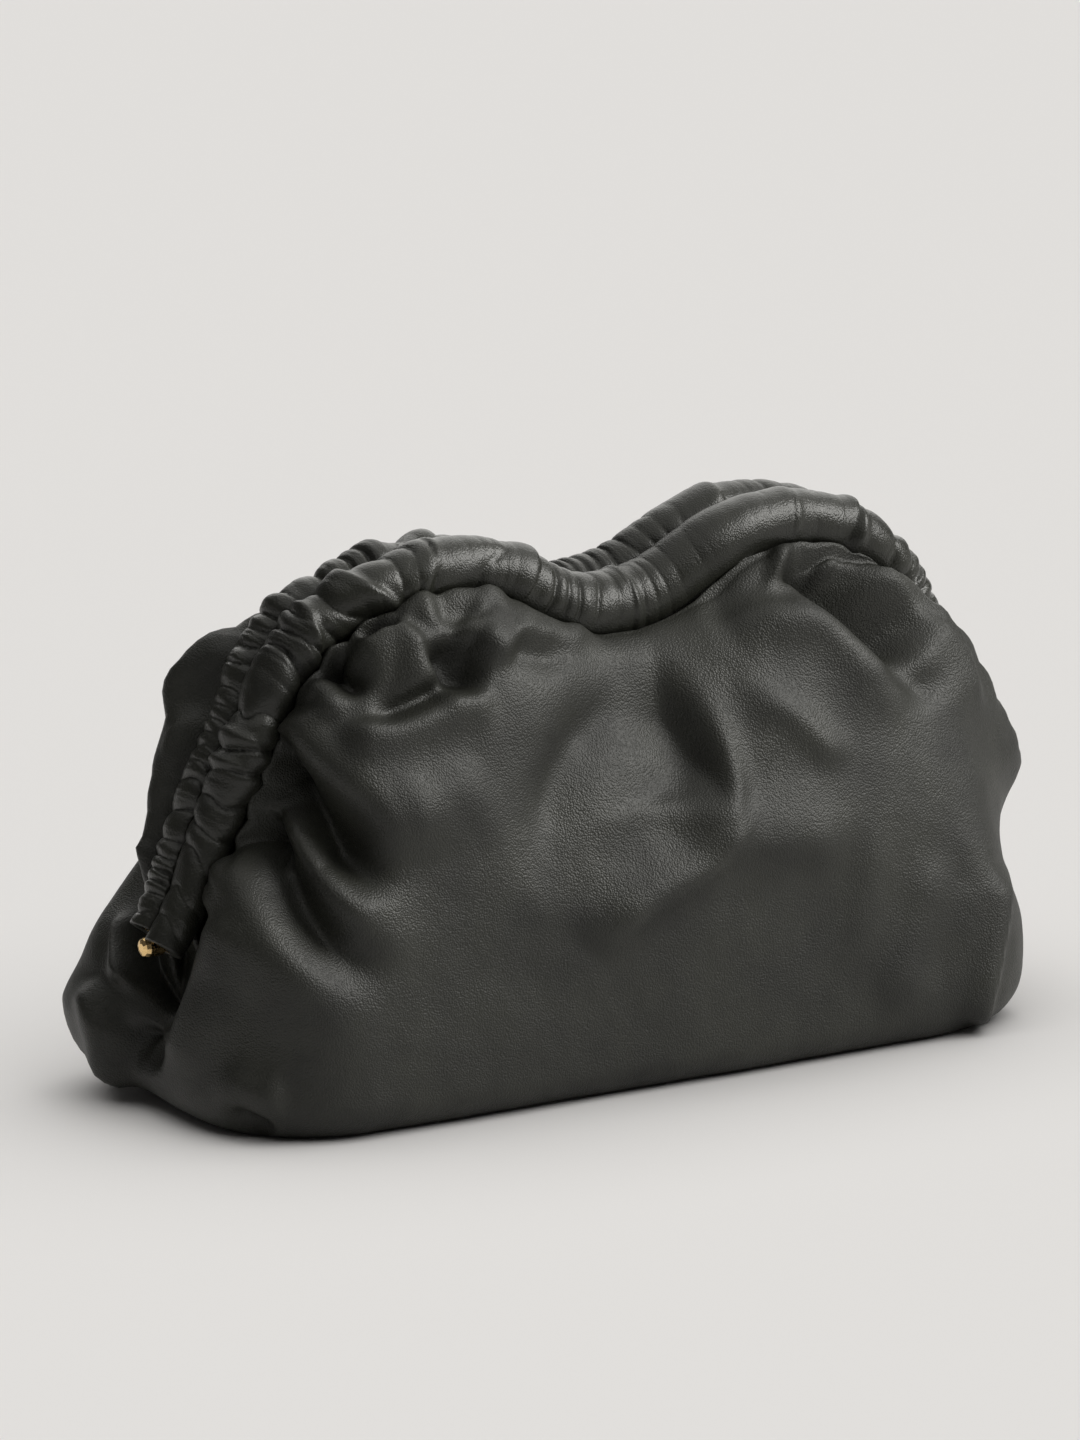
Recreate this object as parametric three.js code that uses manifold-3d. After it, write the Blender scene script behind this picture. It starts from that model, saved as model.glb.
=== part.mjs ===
// A soft leather clutch bag, gathered onto a double-humped wire frame.
// Millimetres. +X along the bag to the right, +Y to the back, +Z up, origin under the base centre.
import * as THREE from "three";
import Module from "manifold-3d";

// Leather body
const BODY_HALF_LENGTH = 165;
const BODY_HALF_DEPTH = 64;
const BODY_CORNER = 48; // corner radius of the widest outline, seen from above
const BODY_SLUMP = -8; // the full part of the body leans this far along X
const LEATHER = 1.8; // wall thickness
const FLOOR_LEVEL = 0.88; // share of the wall, from mouth to base, where the base rounding starts
const RISE_POWER = 2.1; // how square the wall's section is, upright and outward
const SPREAD_POWER = 1.9;
const MOUTH_END = 0.08; // share of each half of the rail where the mouth closes
const MOUTH_DRAW = 11; // how far the closed end is drawn in from the tip
const MOUTH_SINK = 8; // and how far it is sunk under it
const TIP_FAN = 0.25; // how far the wall's upright lines fan out from the tips

// Wire frame and its hinges
const DIP_HEIGHT = 150;
const BAR_RADIUS = 2.6;
const BAR_CLEARANCE = 0.3;
const BAR_END = 0.9825; // share of each half of the rail that its bar covers
const BAR_END_SPREAD = 4.2; // distance of a bar's end from the middle plane
const HINGE_RADIUS = 3.4;
const HINGE_LENGTH = 9;
const HINGE_ROUNDING = 2; // of the edges of its ends

// Ruched sleeves
const SLEEVE_END = 0.965; // share of each half of the rail that its sleeve covers
const SLEEVE_SPREAD = 0.75; // distance of a sleeve's centre from the middle plane, in sleeve radii
const SLEEVE_PARTING = 0.3; // each sleeve's flat inner side lies this far from the middle plane
const SEAM_ANGLE = THREE.MathUtils.degToRad(35); // where the body meets a sleeve, from straight in
const SEAM_GAP = 0.6;
const FOLD_GAP = 1.7; // clearance that the body's folds keep to a sleeve
const SLEEVE_SAMPLES = 160; // places along a sleeve where that clearance is kept

// Direction from which the folds are laid out
const VIEW_TURN = THREE.MathUtils.degToRad(35);
const VIEW_RISE = THREE.MathUtils.degToRad(13);

// Where the folds are
const FACING_FROM = -0.02; // a wall turned this far towards the view has no folds yet
const FACING_RANGE = 0.22; // and this much further it has them in full
const FRONT_CLAIM = 0.3; // a wall with this share of the front's folds has none of the back's
const MOUTH_FADE = 0.05; // shares of the wall over which the folds fade out
const BASE_FADE = 0.06;
const CALM_REACH = 130; // girth from the centre line beyond which the folds get shallower
const CALM_SHARE = 0.45; // share of their height that is left at the ends

// Facets
const GIRTH_STEPS = 96;
const GIRTH_CROWDING = 0.22; // facets are this much denser on the front than the average
const WALL_STEPS = 17;
const RELAX_PASSES = 3;
const RELAX_SHARE = 0.5;
const SLEEVE_ROWS = 52;
const SLEEVE_SIDES = 12;
const BAR_ROWS = 30;
const BAR_SIDES = 8;
const HINGE_SIDES = 12;
const HINGE_ROUND_STEPS = 2;

const BLACK_LEATHER = { color: 0x1b1b1a, roughness: 0.45, metalness: 0 };
const GOLD = { color: 0xd8b168, roughness: 0.25, metalness: 1 };

// Each half of the rail runs from the dip over a hump to a tip.
const RAIL = {
  left: { side: -1, humpX: 62, humpZ: 170, shoulder: 80, lean: 38, rise: 52, tipX: 170, tipZ: 58 },
  right: { side: 1, humpX: 67, humpZ: 170, shoulder: 58, lean: 20, rise: 54, tipX: 160, tipZ: 58 },
};

// Sleeve radius along each half of the rail, from dip to tip
const SLEEVE_RADII = [
  { along: 0.0, radius: 12.0 },
  { along: 0.2, radius: 11.6 },
  { along: 0.45, radius: 10.4 },
  { along: 0.6, radius: 9.4 },
  { along: 0.8, radius: 8.2 },
  { along: 1.0, radius: 6.8 },
];

// Gathers that stand proud of a sleeve: place along the whole rail, half width in mm, height in mm
const GATHERS = [
  { at: -0.86, width: 5, height: 0.7 },
  { at: -0.72, width: 6, height: 1.2 },
  { at: -0.6, width: 7, height: 0.9 },
  { at: -0.48, width: 7, height: 1.4 },
  { at: -0.36, width: 8, height: 1.2 },
  { at: -0.22, width: 9, height: 0.8 },
  { at: -0.08, width: 7, height: 0.7 },
  { at: 0.12, width: 12, height: -0.6 },
  { at: 0.34, width: 8, height: 0.6 },
  { at: 0.5, width: 6, height: 1.3 },
  { at: 0.62, width: 6, height: 0.9 },
  { at: 0.74, width: 6, height: 1.1 },
  { at: 0.88, width: 5, height: 0.7 },
];

// Radius of the rounding under the base, round the girth in mm from the front centre, right positive
const BASE_ROUNDING = [
  { girth: -414, radius: 12 },
  { girth: -322, radius: 14 },
  { girth: -288, radius: 22 },
  { girth: -256, radius: 36 },
  { girth: -230, radius: 32 },
  { girth: -207, radius: 22 },
  { girth: -166, radius: 15 },
  { girth: -117, radius: 12 },
  { girth: 0, radius: 10 },
  { girth: 107, radius: 10 },
  { girth: 146, radius: 14 },
  { girth: 200, radius: 20 },
  { girth: 256, radius: 18 },
  { girth: 322, radius: 12 },
  { girth: 414, radius: 12 },
];

// Broad swellings and hollows of the body: place and half widths in girth and in share of the wall
const SWELLINGS = [
  { name: "back_left_shoulder", girth: -288, level: 0.2, wide: 42, tall: 0.16, height: 13 },
  { name: "back_left_corner", girth: -252, level: 0.82, wide: 26, tall: 0.13, height: 15 },
  { name: "back_left_waist", girth: -256, level: 0.46, wide: 34, tall: 0.13, height: -10 },
  { name: "right_waist", girth: 172, level: 0.54, wide: 36, tall: 0.11, height: -10 },
  { name: "right_shoulder", girth: 168, level: 0.28, wide: 32, tall: 0.13, height: 11 },
  { name: "front_shelf", girth: 40, level: 0.62, wide: 70, tall: 0.2, height: 3 },
];

// Folds, each along a line given as across and up in mm, seen from the front left and above.
// Height is out of the wall, negative for a valley. The half widths are those to the left and the
// right of the line as it is followed, and fadeIn and fadeOut are shares of its length.
const FOLDS = [
  { name: "end_tuck", line: [[-121, 54], [-129, 36], [-136, 14], [-146, -5]],
    height: -12, left: 6, right: 9, fadeIn: 0.3, fadeOut: 0.3 },
  { name: "corner_lobe", line: [[-112, 50], [-121, 34], [-127, 12], [-133, -6]],
    height: 4, left: 11, right: 6, fadeIn: 0.2, fadeOut: 0.3 },
  { name: "low_flank_ridge", line: [[-108, 68], [-106, 48], [-97, 30], [-78, 14], [-58, 4]],
    height: 7, left: 7, right: 12, fadeIn: 0.15, fadeOut: 0.25 },
  { name: "low_flank_valley", line: [[-110, 78], [-100, 66], [-91, 50], [-78, 34], [-60, 21]],
    height: -7, left: 6, right: 6, fadeIn: 0.05, fadeOut: 0.4 },
  { name: "middle_flank_ridge", line: [[-104, 86], [-96, 70], [-86, 55], [-72, 40], [-48, 33]],
    height: 6, left: 7, right: 6, fadeIn: 0.1, fadeOut: 0.25 },
  { name: "upper_flank_valley", line: [[-101, 101], [-96, 92], [-82, 78], [-72, 66], [-66, 46]],
    height: -10, left: 6, right: 11, fadeIn: 0.05, fadeOut: 0.3 },
  { name: "upper_flank_ridge", line: [[-97, 107], [-89, 94], [-76, 83], [-65, 72], [-60, 56]],
    height: 6, left: 16, right: 6, fadeIn: 0.1, fadeOut: 0.3 },
  { name: "hump_swag", line: [[-87, 114], [-77, 106], [-63, 106], [-46, 112], [-27, 121]],
    height: 5, left: 5, right: 7, fadeIn: 0.2, fadeOut: 0.25 },
  { name: "hump_puff", line: [[-79, 126], [-69, 131], [-60, 134], [-53, 128], [-47, 118]],
    height: 7, left: 5, right: 10, fadeIn: 0.2, fadeOut: 0.15 },
  { name: "hump_pocket", line: [[-49, 137], [-42, 127], [-31, 122]],
    height: -8, left: 6, right: 6, fadeIn: 0.1, fadeOut: 0.2 },
  { name: "crown_puff", line: [[-55, 134], [-53, 143], [-40, 149], [-29, 146], [-23, 138]],
    height: 6, left: 6, right: 6, fadeIn: 0.15, fadeOut: 0.15 },
  { name: "dip_lip", line: [[-25, 134], [-8, 131], [10, 129]],
    height: 4, left: 6, right: 5, fadeIn: 0.2, fadeOut: 0.2 },
  { name: "dip_left_valley", line: [[15, 128], [10, 112], [3, 100], [-5, 82]],
    height: -4.5, left: 6, right: 7, fadeIn: 0.1, fadeOut: 0.4 },
  { name: "dip_ridge", line: [[18, 130], [20, 116], [25, 102], [22, 78]],
    height: 3, left: 6, right: 6, fadeIn: 0.2, fadeOut: 0.4 },
  { name: "dip_right_valley", line: [[21, 130], [26, 114], [33, 98], [37, 84], [36, 68]],
    height: -7, left: 6, right: 8, fadeIn: 0.1, fadeOut: 0.3 },
  { name: "dip_crescent", line: [[33, 126], [42, 104], [46, 87], [44, 72], [33, 57], [14, 47]],
    height: 5, left: 9, right: 6, fadeIn: 0.3, fadeOut: 0.3 },
  { name: "dip_tongue", line: [[-9, 64], [-8, 45], [1, 36], [12, 43], [24, 51]],
    height: 3, left: 12, right: 6, fadeIn: 0.3, fadeOut: 0.3 },
  { name: "rim_hollow", line: [[36, 143], [50, 151], [62, 155], [75, 152]],
    height: -5, left: 5, right: 6, fadeIn: 0.2, fadeOut: 0.2 },
  { name: "right_drape", line: [[42, 136], [60, 142], [76, 142], [88, 135], [100, 119], [113, 107]],
    height: 4, left: 5, right: 9, fadeIn: 0.3, fadeOut: 0.3 },
  { name: "right_valley", line: [[69, 164], [80, 156], [90, 145], [100, 136], [113, 129]],
    height: -10, left: 8, right: 7, fadeIn: 0.05, fadeOut: 0.35 },
  { name: "right_puff", line: [[71, 164], [80, 167], [88, 161]],
    height: 5, left: 5, right: 5, fadeIn: 0.2, fadeOut: 0.2 },
  { name: "right_shoulder_ridge", line: [[98, 166], [108, 151], [114, 138], [128, 125], [141, 109]],
    height: 4, left: 5, right: 12, fadeIn: 0.15, fadeOut: 0.2 },
  { name: "right_soft_ridge", line: [[48, 120], [66, 111], [78, 101], [87, 92]],
    height: 2.2, left: 5, right: 6, fadeIn: 0.3, fadeOut: 0.3 },
  { name: "right_shelf", line: [[44, 73], [56, 67], [74, 68], [90, 61]],
    height: 3, left: 14, right: 8, fadeIn: 0.2, fadeOut: 0.3 },
  { name: "right_upright_ridge", line: [[117, 62], [111, 38], [98, 8]],
    height: 2.5, left: 7, right: 6, fadeIn: 0.3, fadeOut: 0.3 },
  { name: "right_upright_valley", line: [[125, 64], [120, 44], [113, 18]],
    height: -3, left: 5, right: 6, fadeIn: 0.3, fadeOut: 0.3 },
  { name: "right_edge_ridge", line: [[136, 78], [131, 60], [127, 44], [123, 26]],
    height: 4, left: 5, right: 7, fadeIn: 0.2, fadeOut: 0.3 },
];
const BACK_FOLD_SHARE = 0.85; // the back has the same folds, turned half round, this much as high
const LINE_STEPS = 6; // straight steps between two points of a fold's line

const clamp01 = (value) => THREE.MathUtils.clamp(value, 0, 1);
const ease = (value) => THREE.MathUtils.smoothstep(value, 0, 1);

// Value of a table's column at a place between its rows
function tableValue(rows, key, column, place) {
  const next = rows.findIndex((row) => row[key] >= place);
  if (next === 0) return rows[0][column];
  if (next < 0) return rows[rows.length - 1][column];
  const [low, high] = [rows[next - 1], rows[next]];
  const share = (place - low[key]) / (high[key] - low[key]);
  return low[column] + share * (high[column] - low[column]);
}

// The rail of the frame, in the plane of X and Z
function halfRail({ side, humpX, humpZ, shoulder, lean, rise, tipX, tipZ }) {
  const point = (x, z) => new THREE.Vector2(side * x, z);
  const dipReach = humpX / 2;
  const path = new THREE.CurvePath();
  path.add(new THREE.CubicBezierCurve(
    point(0, DIP_HEIGHT), point(dipReach, DIP_HEIGHT),
    point(humpX - dipReach, humpZ), point(humpX, humpZ),
  ));
  path.add(new THREE.CubicBezierCurve(
    point(humpX, humpZ), point(humpX + shoulder, humpZ),
    point(tipX - lean, tipZ + rise), point(tipX, tipZ),
  ));
  return path;
}

const HALF_RAILS = { left: halfRail(RAIL.left), right: halfRail(RAIL.right) };
const RAIL_LENGTH = (HALF_RAILS.left.getLength() + HALF_RAILS.right.getLength()) / 2;

// Place and inward normal of the rail, from -1 at the left tip to 1 at the right tip
function railAt(along) {
  const path = along < 0 ? HALF_RAILS.left : HALF_RAILS.right;
  const share = Math.min(Math.abs(along), 1);
  const { x, y: z } = path.getPointAt(share);
  const tangent = path.getTangentAt(share);
  if (along < 0) tangent.negate();
  return { x, z, inX: tangent.y, inZ: -tangent.x };
}

const sleeveRadius = (along) => tableValue(SLEEVE_RADII, "along", "radius", Math.abs(along));

// The widest outline, seen from above, by girth from the front centre
const STRAIGHT_LENGTH = BODY_HALF_LENGTH - BODY_CORNER;
const STRAIGHT_DEPTH = BODY_HALF_DEPTH - BODY_CORNER;
const CORNER_LENGTH = (Math.PI / 2) * BODY_CORNER;
const QUARTER_GIRTH = STRAIGHT_LENGTH + CORNER_LENGTH + STRAIGHT_DEPTH;

function wrapGirth(girth) {
  return THREE.MathUtils.euclideanModulo(girth + 2 * QUARTER_GIRTH, 4 * QUARTER_GIRTH) - 2 * QUARTER_GIRTH;
}

// Which side of the bag a girth lies on, and how far it is from the nearer centre line
function quarterOf(girth) {
  const wrapped = wrapGirth(girth);
  const back = Math.abs(wrapped) > QUARTER_GIRTH;
  const reach = back ? 2 * QUARTER_GIRTH - Math.abs(wrapped) : Math.abs(wrapped);
  return { wrapped, reach, end: wrapped < 0 ? -1 : 1, face: back ? 1 : -1 };
}

function outlineAt(girth) {
  const { reach, end, face } = quarterOf(girth);
  const angle = THREE.MathUtils.clamp((reach - STRAIGHT_LENGTH) / BODY_CORNER, 0, Math.PI / 2);
  const past = Math.max(0, reach - STRAIGHT_LENGTH - CORNER_LENGTH);
  const x = Math.min(reach, STRAIGHT_LENGTH) + BODY_CORNER * Math.sin(angle);
  const y = STRAIGHT_DEPTH + BODY_CORNER * Math.cos(angle) - past;
  const core = new THREE.Vector2(Math.min(x, STRAIGHT_LENGTH), Math.min(y, STRAIGHT_DEPTH));
  const out = new THREE.Vector2(x, y).sub(core).normalize();
  return { x: end * x, y: face * y, outX: end * out.x, outY: face * out.y };
}

// The mouth closes in a rounded end just short of each tip, drawn in and sunk under it.
function mouthAt(girth) {
  const { reach, end, face } = quarterOf(girth);
  const share = reach / QUARTER_GIRTH;
  const along = end * (share + TIP_FAN * share ** 2 * Math.sin(Math.PI * share));
  const rail = railAt(along);
  const radius = sleeveRadius(along) + SEAM_GAP;
  const closing = clamp01((Math.abs(along) - 1 + MOUTH_END) / MOUTH_END);
  const inward = radius * Math.cos(SEAM_ANGLE);
  const spread = radius * (SLEEVE_SPREAD + Math.sin(SEAM_ANGLE)) * Math.sqrt(1 - closing ** 2);
  return new THREE.Vector3(
    rail.x + inward * rail.inX - end * MOUTH_DRAW * closing,
    face * spread,
    rail.z + inward * rail.inZ - MOUTH_SINK * closing,
  );
}

// The plain wall without folds, by girth and by level from 0 at the mouth to 1 at the base
function plainWall(girth, level) {
  const mouth = mouthAt(girth);
  const outline = outlineAt(girth);
  const rounding = tableValue(BASE_ROUNDING, "girth", "radius", wrapGirth(girth));
  const fall = (clamp01(level / FLOOR_LEVEL) * Math.PI) / 2;
  const turn = (clamp01((level - FLOOR_LEVEL) / (1 - FLOOR_LEVEL)) * Math.PI) / 2;
  const spread = Math.sin(fall) ** (2 / SPREAD_POWER);
  const height = Math.max(Math.cos(fall), 0) ** (2 / RISE_POWER);
  const inset = rounding * (1 - Math.cos(turn));
  const wallZ = rounding + (mouth.z - rounding) * height;
  return new THREE.Vector3(
    mouth.x + (outline.x - mouth.x + BODY_SLUMP) * spread - inset * outline.outX,
    mouth.y + (outline.y - mouth.y) * spread - inset * outline.outY,
    turn > 0 ? rounding * (1 - Math.sin(turn)) : wallZ,
  );
}

function plainNormal(girth, level) {
  const girthStep = 0.5;
  const levelStep = 0.004;
  const round = plainWall(girth + girthStep, level).sub(plainWall(girth - girthStep, level));
  const down = plainWall(girth, Math.min(level + levelStep, 1));
  down.sub(plainWall(girth, Math.max(level - levelStep, 0)));
  return down.cross(round).normalize();
}

function swellingHeight(girth, level) {
  return SWELLINGS.reduce((sum, row) => {
    const wide = wrapGirth(girth - row.girth) / row.wide;
    const tall = (level - row.level) / row.tall;
    return sum + row.height * Math.exp(-(wide ** 2) - tall ** 2);
  }, 0);
}

// Two opposite views of the bag, with the directions across, up and away from the eye
function viewFrom(turn) {
  const away = new THREE.Vector3(Math.sin(turn), Math.cos(turn), 0).multiplyScalar(Math.cos(VIEW_RISE));
  away.z = -Math.sin(VIEW_RISE);
  const across = new THREE.Vector3(Math.cos(turn), -Math.sin(turn), 0);
  return { away, across, up: across.clone().cross(away) };
}

const FRONT_VIEW = viewFrom(VIEW_TURN);
const BACK_VIEW = viewFrom(VIEW_TURN + Math.PI);
const FOLD_LINES = FOLDS.map((fold) => {
  const points = fold.line.map(([across, up]) => new THREE.Vector2(across, up));
  return new THREE.SplineCurve(points).getPoints(LINE_STEPS * (points.length - 1));
});

// Nearest place on a fold's line: distance, side of the line and share of its length
function nearestOnLine(line, place) {
  let nearest = { distance: Infinity };
  for (let i = 0; i + 1 < line.length; i += 1) {
    const step = line[i + 1].clone().sub(line[i]);
    const offset = place.clone().sub(line[i]);
    const share = clamp01(offset.dot(step) / step.lengthSq());
    const miss = offset.sub(step.clone().multiplyScalar(share));
    if (miss.length() < nearest.distance) {
      const share01 = (i + share) / (line.length - 1);
      nearest = { distance: miss.length(), onLeft: step.cross(miss) > 0, share: share01 };
    }
  }
  return nearest;
}

function foldHeight(view, point) {
  const place = new THREE.Vector2(point.dot(view.across), point.dot(view.up));
  return FOLDS.reduce((sum, fold, index) => {
    const { distance, onLeft, share } = nearestOnLine(FOLD_LINES[index], place);
    const width = onLeft ? fold.left : fold.right;
    const fade = ease(share / fold.fadeIn) * ease((1 - share) / fold.fadeOut);
    return sum + fold.height * fade * Math.exp(-((distance / width) ** 2));
  }, 0);
}

// Share of a view's folds that a wall facing this way carries
const facing = (view, normal) => ease((-normal.dot(view.away) - FACING_FROM) / FACING_RANGE);

// Folds fade out at the mouth and the base.
const edgeShare = (level) => ease(level / MOUTH_FADE) * ease((1 - level) / BASE_FADE);

// They are shallower towards the ends too, where the wall is short.
function foldShare(girth, level) {
  const { reach } = quarterOf(girth);
  const calm = ease((reach - CALM_REACH) / (QUARTER_GIRTH - CALM_REACH));
  return edgeShare(level) * THREE.MathUtils.lerp(1, CALM_SHARE, calm);
}

function foldedWall(girth, level) {
  const normal = plainNormal(girth, level);
  const point = plainWall(girth, level);
  point.addScaledVector(normal, edgeShare(level) * swellingHeight(girth, level));
  const front = facing(FRONT_VIEW, normal);
  const back = facing(BACK_VIEW, normal) * (1 - ease(front / FRONT_CLAIM)) * BACK_FOLD_SHARE;
  const height = front * foldHeight(FRONT_VIEW, point) + back * foldHeight(BACK_VIEW, point);
  return point.addScaledVector(normal, height * foldShare(girth, level));
}

const spacedAlong = (count, end) =>
  Array.from({ length: count + 1 }, (_, i) => end * ((2 * i) / count - 1));

// Samples along both sleeves' centre lines
const SLEEVE_CENTRES = [-1, 1].flatMap((face) =>
  spacedAlong(SLEEVE_SAMPLES, SLEEVE_END).map((along) => {
    const rail = railAt(along);
    const radius = sleeveRadius(along);
    return { centre: new THREE.Vector3(rail.x, face * SLEEVE_SPREAD * radius, rail.z), radius };
  }),
);

function pushOffSleeves(point) {
  for (const { centre, radius } of SLEEVE_CENTRES) {
    const clear = radius + FOLD_GAP;
    if (point.distanceTo(centre) >= clear) continue;
    point.sub(centre).setLength(clear).add(centre);
  }
}

// Closed meshes from grids of points
function meshGeometry(points, triangles) {
  const geometry = new THREE.BufferGeometry().setFromPoints(points);
  geometry.setIndex(triangles.flat());
  geometry.computeVertexNormals();
  return geometry;
}

// Triangles between two rings of the same number of points
function bandTriangles(first, second, count) {
  return Array.from({ length: count }, (_, i) => {
    const next = (i + 1) % count;
    return [
      [first + i, second + i, second + next],
      [first + i, second + next, first + next],
    ];
  }).flat();
}

// Girths of the facets, crowded on the front where the folds are deepest
function facetGirths() {
  return Array.from({ length: GIRTH_STEPS }, (_, i) => {
    const turn = (i / GIRTH_STEPS) * 2 * Math.PI - Math.PI;
    const crowded = turn - GIRTH_CROWDING * Math.sin(turn);
    return (crowded / Math.PI) * 2 * QUARTER_GIRTH;
  });
}

// The leather evens out between its neighbours. The mouth and the base stay where they are.
function relaxed(rings) {
  return rings.map((ring, row) => {
    if (row === 0 || row === WALL_STEPS) return ring;
    return ring.map((point, i) => {
      const mean = rings[row - 1][i].clone().add(rings[row + 1][i]);
      mean.add(ring[(i + 1) % GIRTH_STEPS]).add(ring[(i + GIRTH_STEPS - 1) % GIRTH_STEPS]);
      const moved = point.clone().lerp(mean.divideScalar(4), RELAX_SHARE);
      pushOffSleeves(moved);
      return moved;
    });
  });
}

// Rings of points down the outside of the wall, from the mouth to the base
function outerRings() {
  const girths = facetGirths();
  let rings = Array.from({ length: WALL_STEPS + 1 }, (_, row) =>
    girths.map((girth) => foldedWall(girth, row / WALL_STEPS)),
  );
  for (let pass = 0; pass < RELAX_PASSES; pass += 1) rings = relaxed(rings);
  return rings;
}

function ringNormal(rings, row, i) {
  if (row === WALL_STEPS) return new THREE.Vector3(0, 0, -1);
  const round = rings[row][(i + 1) % GIRTH_STEPS].clone();
  round.sub(rings[row][(i + GIRTH_STEPS - 1) % GIRTH_STEPS]);
  const down = rings[row + 1][i].clone().sub(rings[Math.max(row - 1, 0)][i]);
  return down.cross(round).normalize();
}

// The outer skin, the inner skin one leather thickness in, the rim of the mouth and the base
function bodyGeometry() {
  const rings = outerRings();
  const outer = rings.flat();
  const inner = rings.flatMap((ring, row) =>
    ring.map((point, i) => point.clone().addScaledVector(ringNormal(rings, row, i), -LEATHER)),
  );
  const skin = outer.length;
  const lastRing = WALL_STEPS * GIRTH_STEPS;
  const triangles = bandTriangles(skin, 0, GIRTH_STEPS);
  for (let ring = 0; ring < lastRing; ring += GIRTH_STEPS) {
    triangles.push(...bandTriangles(ring, ring + GIRTH_STEPS, GIRTH_STEPS));
    triangles.push(...bandTriangles(skin + ring + GIRTH_STEPS, skin + ring, GIRTH_STEPS));
  }
  const base = outer.slice(lastRing).map(({ x, y }) => new THREE.Vector2(x, y));
  for (const [a, b, c] of THREE.ShapeUtils.triangulateShape(base, [])) {
    triangles.push([lastRing + a, lastRing + c, lastRing + b]);
    triangles.push([skin + lastRing + a, skin + lastRing + b, skin + lastRing + c]);
  }
  return meshGeometry([...outer, ...inner], triangles);
}

// A closed tube: rings of points along the rail, each with the same number of points
function tubeGeometry(rings) {
  const count = rings[0].length;
  const points = rings.flat();
  const triangles = [];
  for (let i = 0; i + 1 < rings.length; i += 1) {
    triangles.push(...bandTriangles(i * count, (i + 1) * count, count));
  }
  const last = (rings.length - 1) * count;
  for (let i = 1; i + 1 < count; i += 1) {
    triangles.push([0, i, i + 1], [last, last + i + 1, last + i]);
  }
  return meshGeometry(points, triangles);
}

// One ring round a rail, at a distance from the middle plane
function ringAt(along, spread, radiusAt, sides) {
  const rail = railAt(along);
  return Array.from({ length: sides }, (_, i) => {
    const angle = SEAM_ANGLE + (i / sides) * 2 * Math.PI;
    const radius = radiusAt(along, angle);
    const inward = radius * Math.cos(angle);
    const outward = spread + radius * Math.sin(angle);
    return new THREE.Vector3(rail.x + inward * rail.inX, -outward, rail.z + inward * rail.inZ);
  });
}

// The back half of the frame mirrors the front half, facets and all.
function mirrored(geometry) {
  const copy = geometry.clone().scale(1, -1, 1);
  const index = copy.index.array;
  for (let i = 0; i < index.length; i += 3) {
    [index[i + 1], index[i + 2]] = [index[i + 2], index[i + 1]];
  }
  return copy;
}

function gatherHeight(along) {
  return GATHERS.reduce((sum, gather) => {
    const away = ((along - gather.at) * RAIL_LENGTH) / gather.width;
    return sum + gather.height * Math.exp(-(away ** 2));
  }, 0);
}

function barSpread(along) {
  const radius = sleeveRadius(along);
  const toEnd = ease((Math.abs(along) - SLEEVE_END) / (BAR_END - SLEEVE_END));
  return THREE.MathUtils.lerp(SLEEVE_SPREAD * radius, BAR_END_SPREAD, toEnd);
}

function barGeometry(radius) {
  const rings = spacedAlong(BAR_ROWS, BAR_END).map((along) =>
    ringAt(along, barSpread(along), () => radius, BAR_SIDES),
  );
  return tubeGeometry(rings);
}

// The body's folds stay clear of the plain sleeve radius, so gathers swell only above the seam.
function sleeveOuter() {
  const radiusAt = (along, angle) => {
    const above = ease((1 - Math.cos(angle)) / 2);
    return sleeveRadius(along) + above * gatherHeight(along);
  };
  const rings = spacedAlong(SLEEVE_ROWS, SLEEVE_END).map((along) => {
    const ring = ringAt(along, SLEEVE_SPREAD * sleeveRadius(along), radiusAt, SLEEVE_SIDES);
    for (const point of ring) point.y = Math.min(point.y, -SLEEVE_PARTING);
    return ring;
  });
  return tubeGeometry(rings);
}

const wasm = await Module();
wasm.setup();

function toSolid(geometry) {
  return new wasm.Manifold(new wasm.Mesh({
    numProp: 3,
    vertProperties: new Float32Array(geometry.getAttribute("position").array),
    triVerts: new Uint32Array(geometry.index.array),
  }));
}

function fromSolid(solid) {
  const { vertProperties, triVerts } = solid.getMesh();
  const geometry = new THREE.BufferGeometry();
  geometry.setAttribute("position", new THREE.BufferAttribute(vertProperties, 3));
  geometry.setIndex([...triVerts]);
  geometry.computeVertexNormals();
  return geometry;
}

function sleeveGeometry() {
  const bore = barGeometry(BAR_RADIUS + BAR_CLEARANCE);
  return fromSolid(toSolid(sleeveOuter()).subtract(toSolid(bore)));
}

// A barrel along X with rounded ends, just past the ends of both bars
function hingeGeometry() {
  const half = HINGE_LENGTH / 2;
  const profile = [new THREE.Vector2(0, -half)];
  for (const end of [-1, 1]) {
    for (let i = 0; i <= HINGE_ROUND_STEPS; i += 1) {
      const angle = (Math.PI / 2) * (i / HINGE_ROUND_STEPS - (end < 0 ? 1 : 0));
      const radius = HINGE_RADIUS - HINGE_ROUNDING * (1 - Math.cos(angle));
      const height = end * (half - HINGE_ROUNDING) + HINGE_ROUNDING * Math.sin(angle);
      profile.push(new THREE.Vector2(radius, height));
    }
  }
  profile.push(new THREE.Vector2(0, half));
  return new THREE.LatheGeometry(profile, HINGE_SIDES).rotateZ(Math.PI / 2);
}

function hingePlace(end) {
  const { x, z } = railAt(end);
  return new THREE.Vector3(x, 0, z);
}

const bag = new THREE.Group();

function addPiece(name, geometry, look, place = new THREE.Vector3()) {
  const mesh = new THREE.Mesh(geometry, new THREE.MeshStandardMaterial(look));
  mesh.name = name;
  mesh.position.copy(place);
  bag.add(mesh);
}

const sleeve = sleeveGeometry();
const bar = barGeometry(BAR_RADIUS);

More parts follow.
